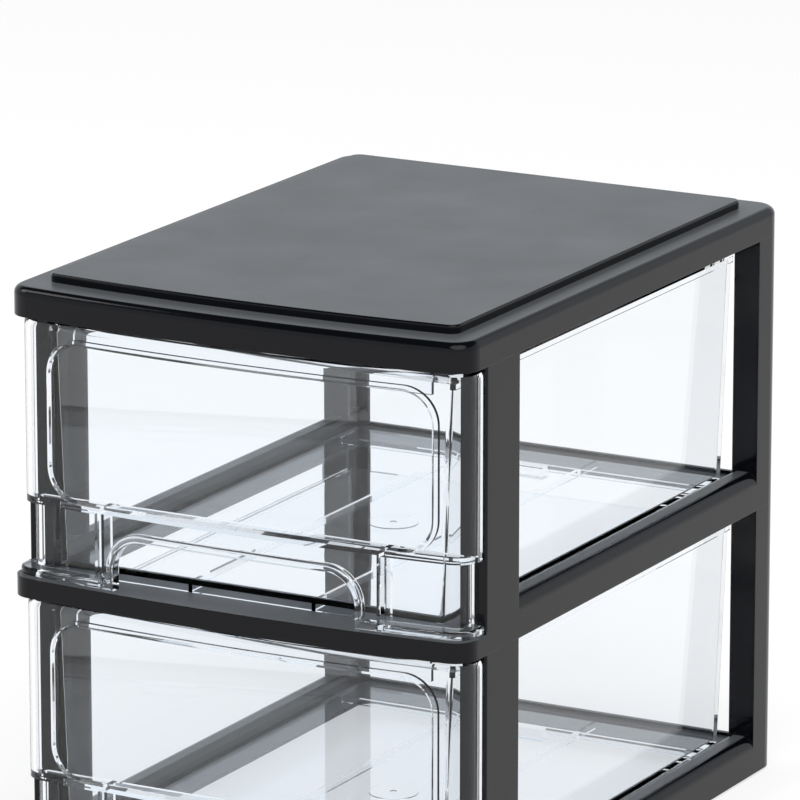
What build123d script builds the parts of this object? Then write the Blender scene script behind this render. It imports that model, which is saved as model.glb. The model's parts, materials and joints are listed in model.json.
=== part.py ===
from build123d import *
from math import sqrt, tan, radians
import os

os.makedirs("parts", exist_ok=True)

# Overall size in millimetres, with the fronts to -Y and the table at Z = 0
width = 180.0
depth = 247.4
front_bow = 4.9
tier_pitch = 100.2
wall = 2.0
corner_radius = 6.0
ring_front_radius = 8.5

# Clearances
running_gap = 0.05
fit_gap = 0.2
stack_gap = 0.25
drawer_gap = 0.9
stop_gap = 0.3
seat_gap = 0.1

# Rails of the frame, heights above the frame's underside
rail_width = 10.0
rail_height = 14.1
rail_outer_round = 4.5
rail_inner_round = 2.4
rail_top_thickness = 2.7
back_wall_height = 8.3
ledge_height = 7.2
ledge_thickness = 1.5
ledge_side = 12.0
ledge_front = 23.0
ledge_back = 24.3
foot_seat_height = 4.0
foot_seat_thickness = 1.2

# Posts of the frame
front_post_start = 14.0
front_post_depth = 23.5
front_post_edge = 0.8
back_post_depth = 19.5
tongue_thickness = 1.8
tongue_length = 8.0
tongue_root = 8.0
tongue_rise = 4.0

# Top cover
cover_height = 10.4
cover_corner_radius = 9.5
cover_edge_round = 3.0
cover_thickness = 2.2
platform_rise = 3.1
platform_front_inset = 12.3
platform_back_inset = 13.0
platform_corner_radius = 4.0
platform_edge_round = 0.8

# Drawer tub, heights above the underside of the frame it runs in
tub_floor_height = 9.6
tub_rim_drop = 6.6
tub_rim_side_gap = 0.6
tub_rim_depth = 2.0
tub_rim_step = 0.8
tub_front = 11.0
tub_length = 213.0
tub_wall = 1.8
tub_corner_radius = 1.2
tub_inner_radius = 0.8
tub_side_draft = 2.2
tub_end_draft = 0.4
runner_spacing = 48.6
runner_width = 1.6
cross_rib_inset = 17.0
cross_rib_margin = 2.5
stop_width = 24.0
stop_drop = 2.0
drawer_travel = 180.0
gate_disc_radius = 9.0
gate_disc_rise = 0.4
gate_mark_radius = 1.2

# Drawer front
panel_side_inset = 1.4
panel_front_inset = 4.5
panel_corner_radius = 9.0
panel_thickness = 2.0
panel_edge_round = 3.0
step_height = 33.1
step_inset = 3.1
relief_side_margin = 14.2
relief_top_margin = 8.2
relief_bottom_margin = 3.3
relief_depth = 1.4
relief_slope = 1.2
relief_corner_radius = 11.0
lip_side_inset = 0.8
lip_front_inset = 2.0
lip_corner_radius = 8.0
lip_height = 3.0
lip_round = 1.0
grip_half_width = 47.4
grip_height = 18.6
grip_corner_radius = 11.0
pocket_half_width = 54.0
hook_side_margin = 9.4
hook_thickness = 1.6
hook_drop = 5.0

# Rubber feet
foot_rise = 1.0
foot_length = 20.0
foot_margin = 10.0
foot_edge_round = 0.5

# Derived positions
half_width = width / 2
y_back = depth / 2
y_corner = front_bow - depth / 2
bow_radius = (half_width**2 + front_bow**2) / (2 * front_bow)
bow_centre = bow_radius - depth / 2
bay_half_width = half_width - rail_width
runner_base = ledge_height + running_gap
y_back_inner = y_back - wall
y_front_post = y_corner + front_post_start
y_front_post_mid = y_front_post + front_post_depth / 2
y_back_post_mid = y_back - back_post_depth / 2
y_back_tongue = y_back - cover_corner_radius - tongue_length / 2
cover_base = foot_rise + 2 * tier_pitch
y_front_foot = y_front_post + front_post_depth + foot_margin
y_back_foot = y_back - back_post_depth - foot_margin


def bowed_plan(half_span, inset, y_end, front_radius, end_radius):
    """Plan outline whose front edge runs parallel to the bowed front."""
    arc_radius = bow_radius - inset
    y_start = bow_centre - sqrt(arc_radius**2 - half_span**2)
    with BuildSketch() as plan:
        with BuildLine():
            Polyline(
                (-half_span, y_start),
                (-half_span, y_end),
                (half_span, y_end),
                (half_span, y_start),
            )
            ThreePointArc(
                (half_span, y_start),
                (0, bow_centre - arc_radius),
                (-half_span, y_start),
            )
        make_face()
        if front_radius > 0:
            fillet(plan.vertices().sort_by(Axis.Y)[:2], front_radius)
        if end_radius > 0:
            fillet(plan.vertices().sort_by(Axis.Y)[-2:], end_radius)
    return plan.sketch


def rectangle_between(x_low, x_high, y_low, y_high):
    """Draw a rectangle given by its limits in the active sketch."""
    with Locations(((x_low + x_high) / 2, (y_low + y_high) / 2)):
        Rectangle(x_high - x_low, y_high - y_low)


def rectangle_pair(x_low, x_high, y_low, y_high):
    """Draw such a rectangle and its mirror image across X = 0."""
    rectangle_between(x_low, x_high, y_low, y_high)
    rectangle_between(-x_high, -x_low, y_low, y_high)


def channel_plan(y_low, y_high, radius):
    """Inside of the channel posts that stand between two Y values."""
    with BuildSketch() as inside:
        rectangle_between(wall - half_width, half_width - wall, y_low + wall, y_high - wall)
        fillet(inside.vertices(), radius)
    return inside.sketch


def edges_on_bow(part, inset, z_low, z_high):
    """Edges whose middle lies on the bowed surface at this inset, between two heights."""
    found = ShapeList()
    for edge in part.edges():
        middle = edge.position_at(0.5)
        reach = sqrt(middle.X**2 + (middle.Y - bow_centre) ** 2)
        if abs(reach - bow_radius + inset) < 0.01 and z_low < middle.Z < z_high:
            found.append(edge)
    return found


# Shared outlines
frame_plan = bowed_plan(half_width, 0, y_back, ring_front_radius, cover_corner_radius)
cover_plan = bowed_plan(half_width, 0, y_back, cover_corner_radius, cover_corner_radius)

# Plan of the sides, from the front of the front posts to the back
with BuildSketch() as side_plan:
    rectangle_between(-half_width, half_width, y_front_post, y_back)
    fillet(side_plan.vertices().sort_by(Axis.Y)[:2], front_post_edge)
    fillet(side_plan.vertices().sort_by(Axis.Y)[-2:], cover_corner_radius)

# Plan of the four channel posts, open inwards
with BuildSketch() as post_plan:
    rectangle_pair(bay_half_width, half_width, y_front_post, y_front_post + front_post_depth)
    rectangle_pair(bay_half_width, half_width, y_back - back_post_depth, y_back)
    add(side_plan.sketch, mode=Mode.INTERSECT)
    add(channel_plan(y_front_post, y_front_post + front_post_depth, wall), mode=Mode.SUBTRACT)
    add(channel_plan(y_back - back_post_depth, y_back, cover_corner_radius - wall), mode=Mode.SUBTRACT)

# Side rails of the frame with their crowned tops
with BuildPart() as side_rails:
    with BuildSketch(Plane.XZ.offset(-y_back)) as rail_section:
        rectangle_between(bay_half_width, half_width, 0, rail_height)
        fillet(rail_section.vertices().group_by(Axis.Y)[-1].sort_by(Axis.X)[0], rail_inner_round)
        fillet(rail_section.vertices().group_by(Axis.Y)[-1].sort_by(Axis.X)[-1], rail_outer_round)
        mirror(about=Plane.YZ)
    extrude(amount=y_back - y_front_post)
    with BuildSketch():
        add(side_plan.sketch)
    extrude(amount=rail_height, mode=Mode.INTERSECT)

# Frame module: a ring of rails, an inner ledge and four posts, its underside at Z = 0
with BuildPart() as frame_module:
    # Ring to the height of its back wall
    with BuildSketch():
        add(frame_plan)
    extrude(amount=back_wall_height)
    # Level of the ledge inside the ring and of the front rail ahead of the posts
    with BuildSketch(Plane.XY.offset(ledge_height)):
        rectangle_between(-bay_half_width, bay_half_width, y_corner, y_back_inner)
        rectangle_between(-half_width, half_width, -depth, y_front_post)
    extrude(amount=back_wall_height, mode=Mode.SUBTRACT)
    # Hollow below the ledge, where the platform of a cover nests in a stack
    with BuildSketch():
        add(bowed_plan(bay_half_width, wall, y_back_inner, 0, 0))
    extrude(amount=ledge_height - ledge_thickness, mode=Mode.SUBTRACT)
    # Central opening of the ledge
    with BuildSketch() as ledge_opening:
        rectangle_between(
            ledge_side - bay_half_width,
            bay_half_width - ledge_side,
            y_corner + ledge_front,
            y_back_inner - ledge_back,
        )
        fillet(ledge_opening.vertices(), corner_radius)
    extrude(amount=back_wall_height, mode=Mode.SUBTRACT)
    add(side_rails.part)
    # Hollow of the rails, open below
    with BuildSketch():
        rectangle_pair(
            bay_half_width + wall,
            half_width - wall,
            y_corner + corner_radius,
            y_back - cover_corner_radius,
        )
    extrude(amount=ledge_height - wall, mode=Mode.SUBTRACT)
    with BuildSketch():
        rectangle_pair(
            bay_half_width + wall,
            half_width - wall,
            y_front_post + wall,
            y_back - cover_corner_radius,
        )
    extrude(amount=rail_height - rail_top_thickness, mode=Mode.SUBTRACT)
    # Seats for the feet inside the rails
    with BuildSketch(Plane.XY.offset(foot_seat_height)):
        for y_foot in (y_front_foot, y_back_foot):
            rectangle_pair(
                bay_half_width + wall / 2,
                half_width - wall / 2,
                y_foot - foot_length / 2,
                y_foot + foot_length / 2,
            )
    extrude(amount=foot_seat_thickness)
    # Posts up to the next frame or the cover
    with BuildSketch(Plane.XY.offset(rail_height - rail_outer_round)):
        add(post_plan.sketch)
    extrude(amount=tier_pitch - rail_height + rail_outer_round)
    # Tongues on top of the posts, which locate the frame or cover above
    for z_low, rise, gap in ((-tongue_root, tongue_root, 0), (0, tongue_rise, fit_gap)):
        with BuildSketch(Plane.XY.offset(tier_pitch + z_low)):
            for y_tongue in (y_front_post_mid, y_back_tongue):
                rectangle_pair(
                    half_width - wall - tongue_thickness,
                    half_width - wall - gap,
                    y_tongue - tongue_length / 2,
                    y_tongue + tongue_length / 2,
                )
        extrude(amount=rise)

with BuildPart() as lower_frame:
    with Locations((0, 0, foot_rise)):
        add(frame_module.part)

with BuildPart() as upper_frame:
    with Locations((0, 0, foot_rise + tier_pitch)):
        add(frame_module.part)

# Top cover: a shallow shell with a raised platform for the next unit of a stack
with BuildPart() as top_cover:
    with BuildSketch(Plane.XY.offset(cover_base)):
        add(cover_plan)
    extrude(amount=cover_height)
    fillet(top_cover.edges().group_by(Axis.Z)[-1], cover_edge_round)
    with BuildSketch(Plane.XY.offset(cover_base + cover_height)):
        add(bowed_plan(
            bay_half_width - stack_gap,
            platform_front_inset,
            y_back - platform_back_inset,
            platform_corner_radius,
            platform_corner_radius,
        ))
    extrude(amount=platform_rise)
    fillet(top_cover.edges().group_by(Axis.Z)[-1], platform_edge_round)
    # Hollow underside
    with BuildSketch(Plane.XY.offset(cover_base)):
        add(bowed_plan(half_width - wall, wall, y_back_inner, cover_corner_radius - wall,
                       cover_corner_radius - wall))
    extrude(amount=cover_height - cover_thickness, mode=Mode.SUBTRACT)
    with BuildSketch(Plane.XY.offset(cover_base)):
        add(bowed_plan(
            bay_half_width - stack_gap - wall,
            platform_front_inset + wall,
            y_back - platform_back_inset - wall,
            platform_corner_radius / 2,
            platform_corner_radius / 2,
        ))
    extrude(amount=cover_height + platform_rise - cover_thickness, mode=Mode.SUBTRACT)
    # Ribs that meet the inner edges of the posts
    with BuildSketch(Plane.XY.offset(cover_base)):
        rectangle_pair(bay_half_width, bay_half_width + wall, y_front_post, y_back_inner)
    extrude(amount=cover_height - cover_thickness / 2)

# Rubber feet, plugs that sit in the hollow of the lower frame's rails
foot_plug_width = rail_width - 2 * wall - 2 * fit_gap
x_foot = half_width - rail_width / 2
with BuildPart() as foot_module:
    with BuildSketch():
        RectangleRounded(foot_plug_width, foot_length, foot_plug_width / 4)
    extrude(amount=foot_rise + foot_seat_height)
    fillet(foot_module.edges().group_by(Axis.Z)[0], foot_edge_round)

with BuildPart() as foot_front_left:
    with Locations((-x_foot, y_front_foot, 0)):
        add(foot_module.part)

with BuildPart() as foot_front_right:
    with Locations((x_foot, y_front_foot, 0)):
        add(foot_module.part)

with BuildPart() as foot_back_left:
    with Locations((-x_foot, y_back_foot, 0)):
        add(foot_module.part)

with BuildPart() as foot_back_right:
    with Locations((x_foot, y_back_foot, 0)):
        add(foot_module.part)

# Drawer tub, placed by the frame it runs in
tub_rim_height = tier_pitch - tub_rim_drop
tub_half_rim = bay_half_width - tub_rim_side_gap
tub_half_top = tub_half_rim - tub_rim_step
y_tub_front = y_corner + tub_front
y_tub_back = y_tub_front + tub_length
y_tub_mid = (y_tub_front + y_tub_back) / 2
y_drawer_mid = (y_corner + panel_front_inset + y_tub_back) / 2
tub_drop = tub_rim_height - tub_floor_height
side_draft_run = tub_drop * tan(radians(tub_side_draft))
end_draft_run = tub_drop * tan(radians(tub_end_draft))
tub_half_floor = tub_half_top - side_draft_run
y_cross_rib = y_tub_back - cross_rib_inset
y_stop = y_corner + ledge_front + drawer_travel + stop_gap


def tub_body(inset, floor_z, radius):
    """Drafted tub shape, shrunk by inset on every side and with its floor at floor_z."""
    share = (tub_rim_height - floor_z) / tub_drop
    y_low_back = y_tub_back - end_draft_run * share
    with BuildPart() as body:
        with BuildSketch(Plane.XY.offset(floor_z)):
            with Locations((0, (y_tub_front + y_low_back) / 2)):
                RectangleRounded(
                    2 * (tub_half_top - inset - side_draft_run * share),
                    y_low_back - y_tub_front - 2 * inset,
                    radius,
                )
        with BuildSketch(Plane.XY.offset(tub_rim_height)):
            with Locations((0, y_tub_mid)):
                RectangleRounded(
                    2 * (tub_half_top - inset),
                    tub_length - 2 * inset,
                    radius,
                )
        loft()
        fillet(body.edges().group_by(Axis.Z)[0], radius)
    return body.part


tub_outside = tub_body(0, tub_floor_height, tub_corner_radius)
tub_inside = tub_body(tub_wall, tub_floor_height + tub_wall, tub_inner_radius)

with BuildPart() as tub_module:
    add(tub_outside)
    # Thickened rim
    with BuildSketch(Plane.XY.offset(tub_rim_height - tub_rim_depth)):
        with Locations((0, y_tub_mid)):
            RectangleRounded(2 * tub_half_rim, tub_length, tub_corner_radius)
    extrude(amount=tub_rim_depth)
    add(tub_inside, mode=Mode.SUBTRACT)
    # Two runners and two cross ribs, which slide on the ledge
    with BuildSketch(Plane.XY.offset(runner_base)):
        rectangle_pair(
            (runner_spacing - runner_width) / 2,
            (runner_spacing + runner_width) / 2,
            y_tub_front,
            y_tub_back - end_draft_run - tub_corner_radius,
        )
        for y_rib in (y_tub_front, y_cross_rib):
            rectangle_between(
                cross_rib_margin - tub_half_floor,
                tub_half_floor - cross_rib_margin,
                y_rib,
                y_rib + runner_width,
            )
    extrude(amount=tub_floor_height + tub_corner_radius - runner_base)
    # Stop that meets the ledge's front part at the end of the travel
    with BuildSketch(Plane.XY.offset(ledge_height - stop_drop)):
        rectangle_between(-stop_width / 2, stop_width / 2, y_stop, y_cross_rib + runner_width)
    extrude(amount=tub_floor_height - ledge_height + stop_drop + tub_corner_radius)
    # Gate disc on the underside, at the middle of the whole drawer
    with BuildSketch(Plane.XY.offset(tub_floor_height - gate_disc_rise)):
        with Locations((0, y_drawer_mid)):
            Circle(gate_disc_radius)
            Circle(gate_mark_radius, mode=Mode.SUBTRACT)
    extrude(amount=gate_disc_rise)

# Drawer front, a clear shell clipped over the front wall of the tub
panel_bottom = runner_base
panel_top = tier_pitch - drawer_gap
y_panel_back = y_front_post - stop_gap
panel_half_width = half_width - panel_side_inset
y_seat = y_tub_front - seat_gap
y_hook = y_tub_front + tub_wall + fit_gap
relief_bottom = step_height + relief_bottom_margin
relief_top = panel_top - relief_top_margin
relief_half_width = panel_half_width - relief_side_margin
hook_half_width = tub_half_rim - hook_side_margin

# Front views, drawn with height along Y
with BuildSketch() as lip_view:
    rectangle_between(
        -grip_half_width - lip_height,
        grip_half_width + lip_height,
        panel_bottom,
        panel_bottom + grip_height + lip_height,
    )
    fillet(lip_view.vertices().group_by(Axis.Y)[-1], grip_corner_radius + lip_height)
    rectangle_between(-half_width, half_width, panel_bottom, panel_bottom + lip_height)

with BuildSketch() as grip_view:
    rectangle_between(-grip_half_width, grip_half_width, 0, panel_bottom + grip_height)
    fillet(grip_view.vertices().group_by(Axis.Y)[-1], grip_corner_radius)

with BuildSketch() as relief_view:
    with Locations((0, (relief_bottom + relief_top) / 2)):
        RectangleRounded(2 * relief_half_width, relief_top - relief_bottom, relief_corner_radius)

with BuildSketch() as relief_back_view:
    with Locations((0, (relief_bottom + relief_top) / 2)):
        RectangleRounded(
            2 * (relief_half_width + panel_thickness),
            relief_top - relief_bottom + 2 * panel_thickness,
            relief_corner_radius + panel_thickness,
        )

# Lip along the bottom edge, rising around the grip
with BuildPart() as lip_ring:
    with BuildSketch(Plane.XY.offset(panel_bottom)):
        add(bowed_plan(
            half_width - lip_side_inset, lip_front_inset, y_panel_back, lip_corner_radius, 0
        ))
    extrude(amount=grip_height + lip_height)
    with BuildSketch(Plane.XZ.offset(depth)):
        add(lip_view.sketch)
    extrude(amount=-2 * depth, mode=Mode.INTERSECT)

# Slab behind the sunk panel of the upper zone
relief_floor = panel_front_inset + relief_depth
with BuildPart() as relief_slab:
    with BuildSketch(Plane.XY.offset(step_height)):
        add(bowed_plan(relief_half_width + 2 * panel_thickness, panel_front_inset + panel_thickness / 2,
                       y_front_post, 0, 0))
        add(bowed_plan(relief_half_width + 2 * panel_thickness, relief_floor + panel_thickness,
                       y_front_post, 0, 0), mode=Mode.SUBTRACT)
    extrude(amount=panel_top - step_height)
    with BuildSketch(Plane.XZ.offset(depth)):
        add(relief_back_view.sketch)
    extrude(amount=-2 * depth, mode=Mode.INTERSECT)

# Recess that sinks the panel
with BuildPart() as relief_recess:
    with BuildSketch(Plane.XY.offset(step_height)):
        add(bowed_plan(relief_half_width + panel_thickness, 0, y_front_post, 0, 0))
        add(bowed_plan(relief_half_width + panel_thickness, relief_floor, y_front_post, 0, 0),
            mode=Mode.SUBTRACT)
    extrude(amount=panel_top - step_height)
    with BuildSketch(Plane.XZ.offset(depth)):
        add(relief_view.sketch)
    extrude(amount=-2 * depth, mode=Mode.INTERSECT)

with BuildPart() as front_module:
    # Upper zone
    with BuildSketch(Plane.XY.offset(step_height)):
        add(bowed_plan(panel_half_width, panel_front_inset, y_panel_back, panel_corner_radius, 0))
    extrude(amount=panel_top - step_height)
    fillet(front_module.edges().group_by(Axis.Z)[-1].sort_by(Axis.Y)[:-1], panel_edge_round)
    # Lower zone, set back on the front and sides
    with BuildSketch(Plane.XY.offset(panel_bottom)):
        add(bowed_plan(
            panel_half_width - step_inset,
            panel_front_inset + step_inset,
            y_panel_back,
            panel_corner_radius - step_inset,
            0,
        ))
    extrude(amount=step_height - panel_bottom)
    # Middle of the lower zone, level with the upper zone, around the finger pocket
    with BuildSketch(Plane.XY.offset(panel_bottom)):
        add(bowed_plan(pocket_half_width + panel_thickness, panel_front_inset, y_seat, 0, 0))
    extrude(amount=step_height - panel_bottom)
    add(lip_ring.part)
    # Hollow of the upper zone, open to the back
    with BuildSketch(Plane.XY.offset(step_height + panel_thickness)):
        add(bowed_plan(
            panel_half_width - panel_thickness,
            panel_front_inset + panel_thickness,
            y_front_post,
            panel_corner_radius - panel_thickness,
            0,
        ))
    extrude(amount=panel_top - 2 * panel_thickness - step_height, mode=Mode.SUBTRACT)
    # Room for the tub's front wall behind the step
    with BuildSketch(Plane.XY.offset(step_height)):
        rectangle_between(
            panel_thickness - panel_half_width,
            panel_half_width - panel_thickness,
            y_seat,
            y_front_post,
        )
    extrude(amount=panel_thickness, mode=Mode.SUBTRACT)
    # Hollow of the lower zone and the finger pocket, open to the back and below
    with BuildSketch(Plane.XY.offset(panel_bottom)):
        add(bowed_plan(
            panel_half_width - step_inset - panel_thickness,
            panel_front_inset + step_inset + panel_thickness,
            y_front_post,
            panel_corner_radius - step_inset - panel_thickness,
            0,
        ))
        with Locations((0, y_seat - depth / 2)):
            Rectangle(2 * (pocket_half_width + panel_thickness), depth, mode=Mode.SUBTRACT)
        add(bowed_plan(pocket_half_width, panel_front_inset + panel_thickness, y_front_post, 0, 0))
    extrude(amount=step_height - panel_bottom, mode=Mode.SUBTRACT)
    # Sunk panel
    add(relief_slab.part)
    add(relief_recess.part, mode=Mode.SUBTRACT)
    chamfer(
        edges_on_bow(
            front_module, panel_front_inset, relief_bottom - relief_slope, relief_top + relief_slope
        ),
        relief_slope,
    )
    # Opening of the finger grip
    with BuildSketch(Plane.XZ.offset(depth)):
        add(grip_view.sketch)
    extrude(amount=-(depth + y_seat), mode=Mode.SUBTRACT)
    fillet(edges_on_bow(front_module, lip_front_inset, 0, step_height), lip_round)
    # Clip over the rim of the tub's front wall
    with BuildSketch(Plane.XY.offset(panel_top - panel_thickness)):
        rectangle_between(
            -hook_half_width, hook_half_width, y_panel_back - wall, y_hook + hook_thickness
        )
    extrude(amount=panel_thickness)
    with BuildSketch(Plane.XY.offset(tub_rim_height - hook_drop)):
        rectangle_between(-hook_half_width, hook_half_width, y_hook, y_hook + hook_thickness)
    extrude(amount=panel_top - panel_thickness - tub_rim_height + hook_drop)

with BuildPart() as lower_drawer_tub:
    with Locations((0, 0, foot_rise)):
        add(tub_module.part)

with BuildPart() as upper_drawer_tub:
    with Locations((0, 0, foot_rise + tier_pitch)):
        add(tub_module.part)

with BuildPart() as lower_drawer_front:
    with Locations((0, 0, foot_rise)):
        add(front_module.part)

with BuildPart() as upper_drawer_front:
    with Locations((0, 0, foot_rise + tier_pitch)):
        add(front_module.part)

lower_frame.part.label = "lower_frame"
upper_frame.part.label = "upper_frame"
top_cover.part.label = "top_cover"
lower_drawer_tub.part.label = "lower_drawer_tub"
upper_drawer_tub.part.label = "upper_drawer_tub"
lower_drawer_front.part.label = "lower_drawer_front"
upper_drawer_front.part.label = "upper_drawer_front"
foot_front_left.part.label = "foot_front_left"
foot_front_right.part.label = "foot_front_right"
foot_back_left.part.label = "foot_back_left"
foot_back_right.part.label = "foot_back_right"

export_step(lower_frame.part, "parts/lower_frame.step")
export_step(upper_frame.part, "parts/upper_frame.step")
export_step(top_cover.part, "parts/top_cover.step")
export_step(lower_drawer_tub.part, "parts/lower_drawer_tub.step")
export_step(upper_drawer_tub.part, "parts/upper_drawer_tub.step")
export_step(lower_drawer_front.part, "parts/lower_drawer_front.step")
export_step(upper_drawer_front.part, "parts/upper_drawer_front.step")
export_step(foot_front_left.part, "parts/foot_front_left.step")
export_step(foot_front_right.part, "parts/foot_front_right.step")
export_step(foot_back_left.part, "parts/foot_back_left.step")
export_step(foot_back_right.part, "parts/foot_back_right.step")
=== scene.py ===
import json
from math import radians

import bpy
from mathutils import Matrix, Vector

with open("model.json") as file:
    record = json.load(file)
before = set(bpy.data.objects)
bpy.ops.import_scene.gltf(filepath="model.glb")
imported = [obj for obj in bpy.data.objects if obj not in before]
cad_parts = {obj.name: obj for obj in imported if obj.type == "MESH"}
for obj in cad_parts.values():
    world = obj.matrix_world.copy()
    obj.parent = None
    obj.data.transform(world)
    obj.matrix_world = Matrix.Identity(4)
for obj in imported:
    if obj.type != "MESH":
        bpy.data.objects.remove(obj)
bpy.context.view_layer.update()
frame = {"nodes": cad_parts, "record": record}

# Plastics and rubber, with lengths in metres
darkest_black = (0.002, 0.0022, 0.0036, 1.0)
lightest_black = (0.003, 0.0032, 0.0048, 1.0)
# Grey painted on upward black faces as light falling on them from above
painted_top_light_grey = (0.084, 0.09, 0.096, 1.0)
clear_tint = (0.956, 0.97, 0.985, 1.0)
rubber_black = (0.02, 0.02, 0.021, 1.0)
black_index = 1.29
tub_index = 1.25
front_index = 1.42
top_satin = 0.24
edge_radius = 0.0003

# Floor and world
white = (1.0, 1.0, 1.0, 1.0)
cool_white = (0.9, 0.95, 1.0, 1.0)
floor_pale = (0.86, 0.86, 0.86, 1.0)
floor_lit = (0.36, 0.36, 0.36, 1.0)
floor_glow = 0.7
half_floor = 12.0
ceiling_level = 0.05
matt_level = 0.55

# Lamps and camera
lamp_target = Vector((0.0, 0.0, 0.1))
camera_place = (1.12073, -2.05281, 0.75922)
degrees_down = 14.48
degrees_left = 28.64

# Clear walls stand behind one another, so light may pass more surfaces than usual
light_passes = 32

scene = bpy.context.scene
scene.view_settings.view_transform = "Standard"
scene.cycles.max_bounces = light_passes
scene.cycles.transmission_bounces = light_passes
scene.cycles.transparent_max_bounces = light_passes


# Building blocks of the materials and the world

def new_material(name):
    """Material with a Principled shader at its output."""
    material = bpy.data.materials.new(name)
    material.use_nodes = True
    tree = material.node_tree
    return material, tree, tree.nodes["Principled BSDF"]


def object_coordinates(tree):
    """Places on a piece, in metres."""
    return tree.nodes.new("ShaderNodeTexCoord").outputs["Object"]


def height_of(tree, direction):
    """Upward part of a direction."""
    node = tree.nodes.new("ShaderNodeSeparateXYZ")
    tree.links.new(direction, node.inputs["Vector"])
    return node.outputs["Z"]


def noise(tree, coordinates, scale, detail=2.0, roughness=0.5):
    """Noise pattern with about scale features to each unit of the coordinates."""
    node = tree.nodes.new("ShaderNodeTexNoise")
    node.inputs["Scale"].default_value = scale
    node.inputs["Detail"].default_value = detail
    node.inputs["Roughness"].default_value = roughness
    tree.links.new(coordinates, node.inputs["Vector"])
    return node.outputs["Fac"]


def ramped(tree, value, low, high, out_low, out_high):
    """Value from low to high turned into out_low to out_high, and held beyond them."""
    node = tree.nodes.new("ShaderNodeMapRange")
    node.inputs["From Min"].default_value = low
    node.inputs["From Max"].default_value = high
    node.inputs["To Min"].default_value = out_low
    node.inputs["To Max"].default_value = out_high
    tree.links.new(value, node.inputs["Value"])
    return node.outputs["Result"]


def computed(tree, operation, first, second):
    """Result of a Math operation on two values, each a number or a socket."""
    node = tree.nodes.new("ShaderNodeMath")
    node.operation = operation
    for socket, value in zip(node.inputs, (first, second)):
        if isinstance(value, float):
            socket.default_value = value
        else:
            tree.links.new(value, socket)
    return node.outputs["Value"]


def blended(tree, factor, first, second):
    """Colour from first at nought to second at one, each a colour or a socket."""
    node = tree.nodes.new("ShaderNodeMix")
    node.data_type = "RGBA"
    tree.links.new(factor, node.inputs[0])
    # Inputs 6 and 7 and output 2 are the node's colours
    for socket, value in zip(node.inputs[6:8], (first, second)):
        if isinstance(value, tuple):
            socket.default_value = value
        else:
            tree.links.new(value, socket)
    return node.outputs[2]


def rays(tree, *kinds):
    """One for rays of the named kinds, nought for all others."""
    outputs = tree.nodes.new("ShaderNodeLightPath").outputs
    chosen = outputs[kinds[0]]
    for kind in kinds[1:]:
        chosen = computed(tree, "MAXIMUM", chosen, outputs[kind])
    return chosen


def surface_mix(tree, factor, first, second):
    """Sends first to the material's output where factor is nought, and second where it is one."""
    mix = tree.nodes.new("ShaderNodeMixShader")
    tree.links.new(factor, mix.inputs["Fac"])
    tree.links.new(first, mix.inputs[1])
    tree.links.new(second, mix.inputs[2])
    tree.links.new(mix.outputs["Shader"], tree.nodes["Material Output"].inputs["Surface"])


def upward(tree):
    """One on faces within 5 degrees of level that look up, nought beyond 17 degrees."""
    normal = tree.nodes.new("ShaderNodeNewGeometry").outputs["Normal"]
    return ramped(tree, height_of(tree, normal), 0.96, 0.995, 0.0, 1.0)


def rub_marks(tree, coordinates, across, along, turn, low, high, depth):
    """Roughness up to depth in hairlines along Y; another turn gives other hairlines."""
    node = tree.nodes.new("ShaderNodeMapping")
    node.inputs["Scale"].default_value = (across, along, across)
    node.inputs["Rotation"].default_value = (0.0, 0.0, turn)
    tree.links.new(coordinates, node.inputs["Vector"])
    hairlines = noise(tree, node.outputs["Vector"], scale=1.0, roughness=0.7)
    return ramped(tree, hairlines, low, high, 0.0, depth)


def rounded_edges(tree, radius):
    """Normals that make sharp edges look rounded."""
    node = tree.nodes.new("ShaderNodeBevel")
    node.samples = 6
    node.inputs["Radius"].default_value = radius
    return node.outputs["Normal"]


def relief(tree, height, distance, normal=None):
    """Normals of a fine relief, on top of other normals where they are given."""
    node = tree.nodes.new("ShaderNodeBump")
    node.inputs["Distance"].default_value = distance
    node.inputs["Strength"].default_value = 0.5
    tree.links.new(height, node.inputs["Height"])
    if normal is not None:
        tree.links.new(normal, node.inputs["Normal"])
    return node.outputs["Normal"]


# Materials

def black_plastic():
    """Polished black plastic with uneven gloss and rub marks, satin on top, with painted light greying its
    upward faces.
    """
    material, tree, shader = new_material("black_plastic_polished")
    place = object_coordinates(tree)
    top = upward(tree)
    cloud = noise(tree, place, scale=28.0, detail=3.0)
    black = blended(tree, cloud, darkest_black, lightest_black)
    # Painted light: faces that look up are blended to grey as if lit from above
    tree.links.new(blended(tree, top, black, painted_top_light_grey), shader.inputs["Base Color"])
    shader.inputs["IOR"].default_value = black_index
    gloss = ramped(tree, cloud, 0.3, 0.7, 0.1, 0.16)
    marks = rub_marks(tree, place, across=900.0, along=26.0, turn=0.35, low=0.66, high=0.78, depth=0.05)
    worn = computed(tree, "ADD", marks, computed(tree, "MULTIPLY", top, top_satin))
    tree.links.new(computed(tree, "ADD", gloss, worn), shader.inputs["Roughness"])
    ripple = noise(tree, place, scale=160.0)
    normal = relief(tree, ripple, 0.00002, rounded_edges(tree, edge_radius))
    tree.links.new(normal, shader.inputs["Normal"])
    return material


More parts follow.
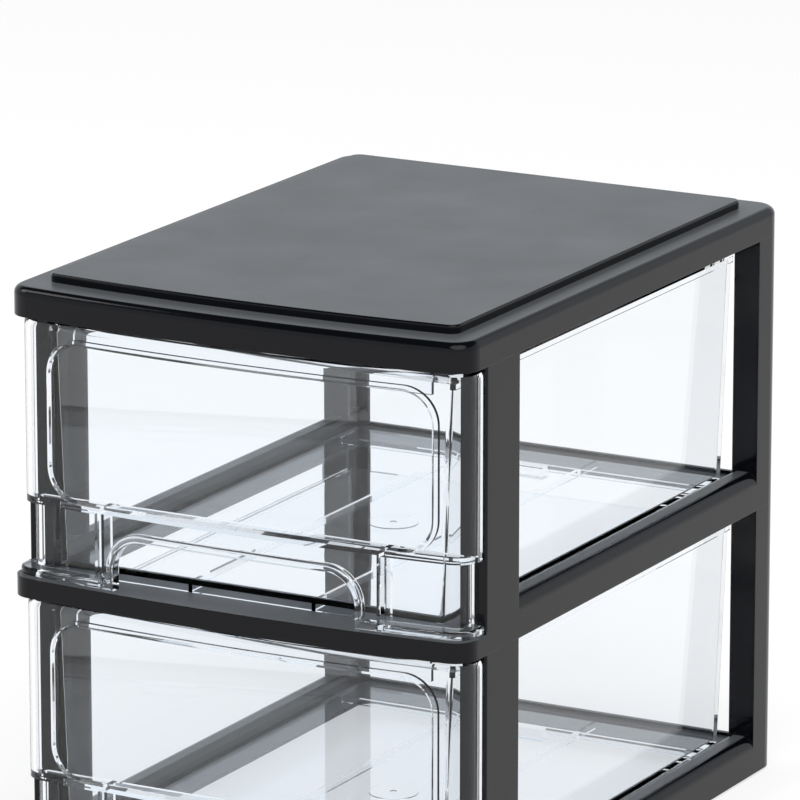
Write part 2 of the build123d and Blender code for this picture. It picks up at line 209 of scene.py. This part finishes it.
def clear_plastic(name, index, mirror, wear):
    """Clear plastic with moulding ripple.

    Mirror scales the reflections of faces seen square on, and wear is the depth of the rub marks.
    """
    material, tree, shader = new_material(name)
    place = object_coordinates(tree)
    shader.inputs["Base Color"].default_value = clear_tint
    shader.inputs["Transmission Weight"].default_value = 1.0
    shader.inputs["IOR"].default_value = index
    shader.inputs["Specular Tint"].default_value = (mirror, mirror, mirror, 1.0)
    haze = ramped(tree, noise(tree, place, scale=22.0, detail=3.0), 0.35, 0.75, 0.0, 0.02)
    marks = rub_marks(tree, place, across=700.0, along=30.0, turn=0.2, low=0.7, high=0.8, depth=wear)
    tree.links.new(computed(tree, "ADD", haze, marks), shader.inputs["Roughness"])
    ripple = noise(tree, place, scale=45.0, detail=1.0)
    tree.links.new(relief(tree, ripple, 0.00004), shader.inputs["Normal"])
    # The light of lamps, and all light that falls on matt surfaces, goes straight through
    passing = rays(tree, "Is Shadow Ray", "Is Diffuse Ray")
    straight = tree.nodes.new("ShaderNodeBsdfTransparent")
    straight.inputs["Color"].default_value = clear_tint
    surface_mix(tree, passing, shader.outputs["BSDF"], straight.outputs["BSDF"])
    return material


def foot_rubber():
    """Matt rubber with a fine grain."""
    material, tree, shader = new_material("foot_rubber_matt")
    grain = noise(tree, object_coordinates(tree), scale=2500.0, detail=3.0)
    shader.inputs["Base Color"].default_value = rubber_black
    tree.links.new(ramped(tree, grain, 0.3, 0.7, 0.6, 0.8), shader.inputs["Roughness"])
    tree.links.new(relief(tree, grain, 0.00005), shader.inputs["Normal"])
    return material


def pale_floor():
    """Matt pale floor that is white, but for shadows, to the camera, in mirrors and through clear walls."""
    material, tree, shader = new_material("floor_pale")
    shader.inputs["Base Color"].default_value = floor_pale
    shader.inputs["Roughness"].default_value = 0.9
    shader.inputs["Specular IOR Level"].default_value = 0.0
    glow = tree.nodes.new("ShaderNodeEmission")
    glow.inputs["Strength"].default_value = floor_glow
    lit = tree.nodes.new("ShaderNodeBsdfDiffuse")
    lit.inputs["Color"].default_value = floor_lit
    bright = tree.nodes.new("ShaderNodeAddShader")
    tree.links.new(glow.outputs["Emission"], bright.inputs[0])
    tree.links.new(lit.outputs["BSDF"], bright.inputs[1])
    seen = rays(tree, "Is Camera Ray", "Is Glossy Ray", "Is Transmission Ray")
    surface_mix(tree, seen, shader.outputs["BSDF"], bright.outputs["Shader"])
    return material


looks = {
    "black_plastic": black_plastic(),
    "clear_tub": clear_plastic("clear_tub_polished", tub_index, mirror=1.0, wear=0.12),
    "clear_front": clear_plastic("clear_front_polished", front_index, mirror=0.5, wear=0.05),
    "foot_rubber": foot_rubber(),
}
for row in frame["record"]["subparts"]:
    for material_slot in frame["nodes"][row["node"]].material_slots:
        material_slot.material = looks[row["material_slot"]]


# Floor
corners = [
    (-half_floor, -half_floor, 0), (half_floor, -half_floor, 0),
    (half_floor, half_floor, 0), (-half_floor, half_floor, 0),
]
floor_mesh = bpy.data.meshes.new("floor")
floor_mesh.from_pydata(corners, [], [(0, 1, 2, 3)])
floor_mesh.materials.append(pale_floor())
floor = bpy.data.objects.new("floor", floor_mesh)
scene.collection.objects.link(floor)


# World: white to the camera and through clear walls, in mirrors a cool white that fades to a dark
# ceiling, and a soft even light on matt surfaces
world = bpy.data.worlds.new("studio")
scene.world = world
world.use_nodes = True
tree = world.node_tree
direction = tree.nodes.new("ShaderNodeTexCoord").outputs["Generated"]
backdrop = ramped(tree, height_of(tree, direction), 0.42, 0.62, 1.0, ceiling_level)
mirrored = rays(tree, "Is Glossy Ray")
straight = rays(tree, "Is Camera Ray", "Is Transmission Ray")
shown = computed(tree, "MAXIMUM", straight, computed(tree, "MULTIPLY", mirrored, backdrop))
unseen = computed(tree, "SUBTRACT", 1.0, computed(tree, "MAXIMUM", straight, mirrored))
soft = computed(tree, "MULTIPLY", unseen, matt_level)
background = tree.nodes["Background"]
tree.links.new(blended(tree, mirrored, white, cool_white), background.inputs["Color"])
tree.links.new(computed(tree, "ADD", soft, shown), background.inputs["Strength"])


# Lamps
def round_lamp(name, place, diameter, power):
    """Round area lamp that points at the object."""
    data = bpy.data.lights.new(name, "AREA")
    data.shape = "ELLIPSE"
    data.size = diameter
    data.size_y = diameter
    data.energy = power
    lamp = bpy.data.objects.new(name, data)
    lamp.location = place
    lamp.rotation_euler = (lamp_target - Vector(place)).to_track_quat("-Z", "Y").to_euler()
    scene.collection.objects.link(lamp)


round_lamp("key_lamp", (1.0, -0.9, 1.8), diameter=2.0, power=27.0)
round_lamp("fill_lamp", (-1.6, -0.6, 1.6), diameter=1.0, power=12.0)


# Camera at the photograph's viewing angle
camera_data = bpy.data.cameras.new("camera")
camera_data.lens = 307.1
camera_data.sensor_width = 36.0
camera_data.clip_end = 60.0
camera = bpy.data.objects.new("camera", camera_data)
camera.location = camera_place
camera.rotation_euler = (radians(90.0 - degrees_down), 0.0, radians(degrees_left))
scene.collection.objects.link(camera)
scene.camera = camera
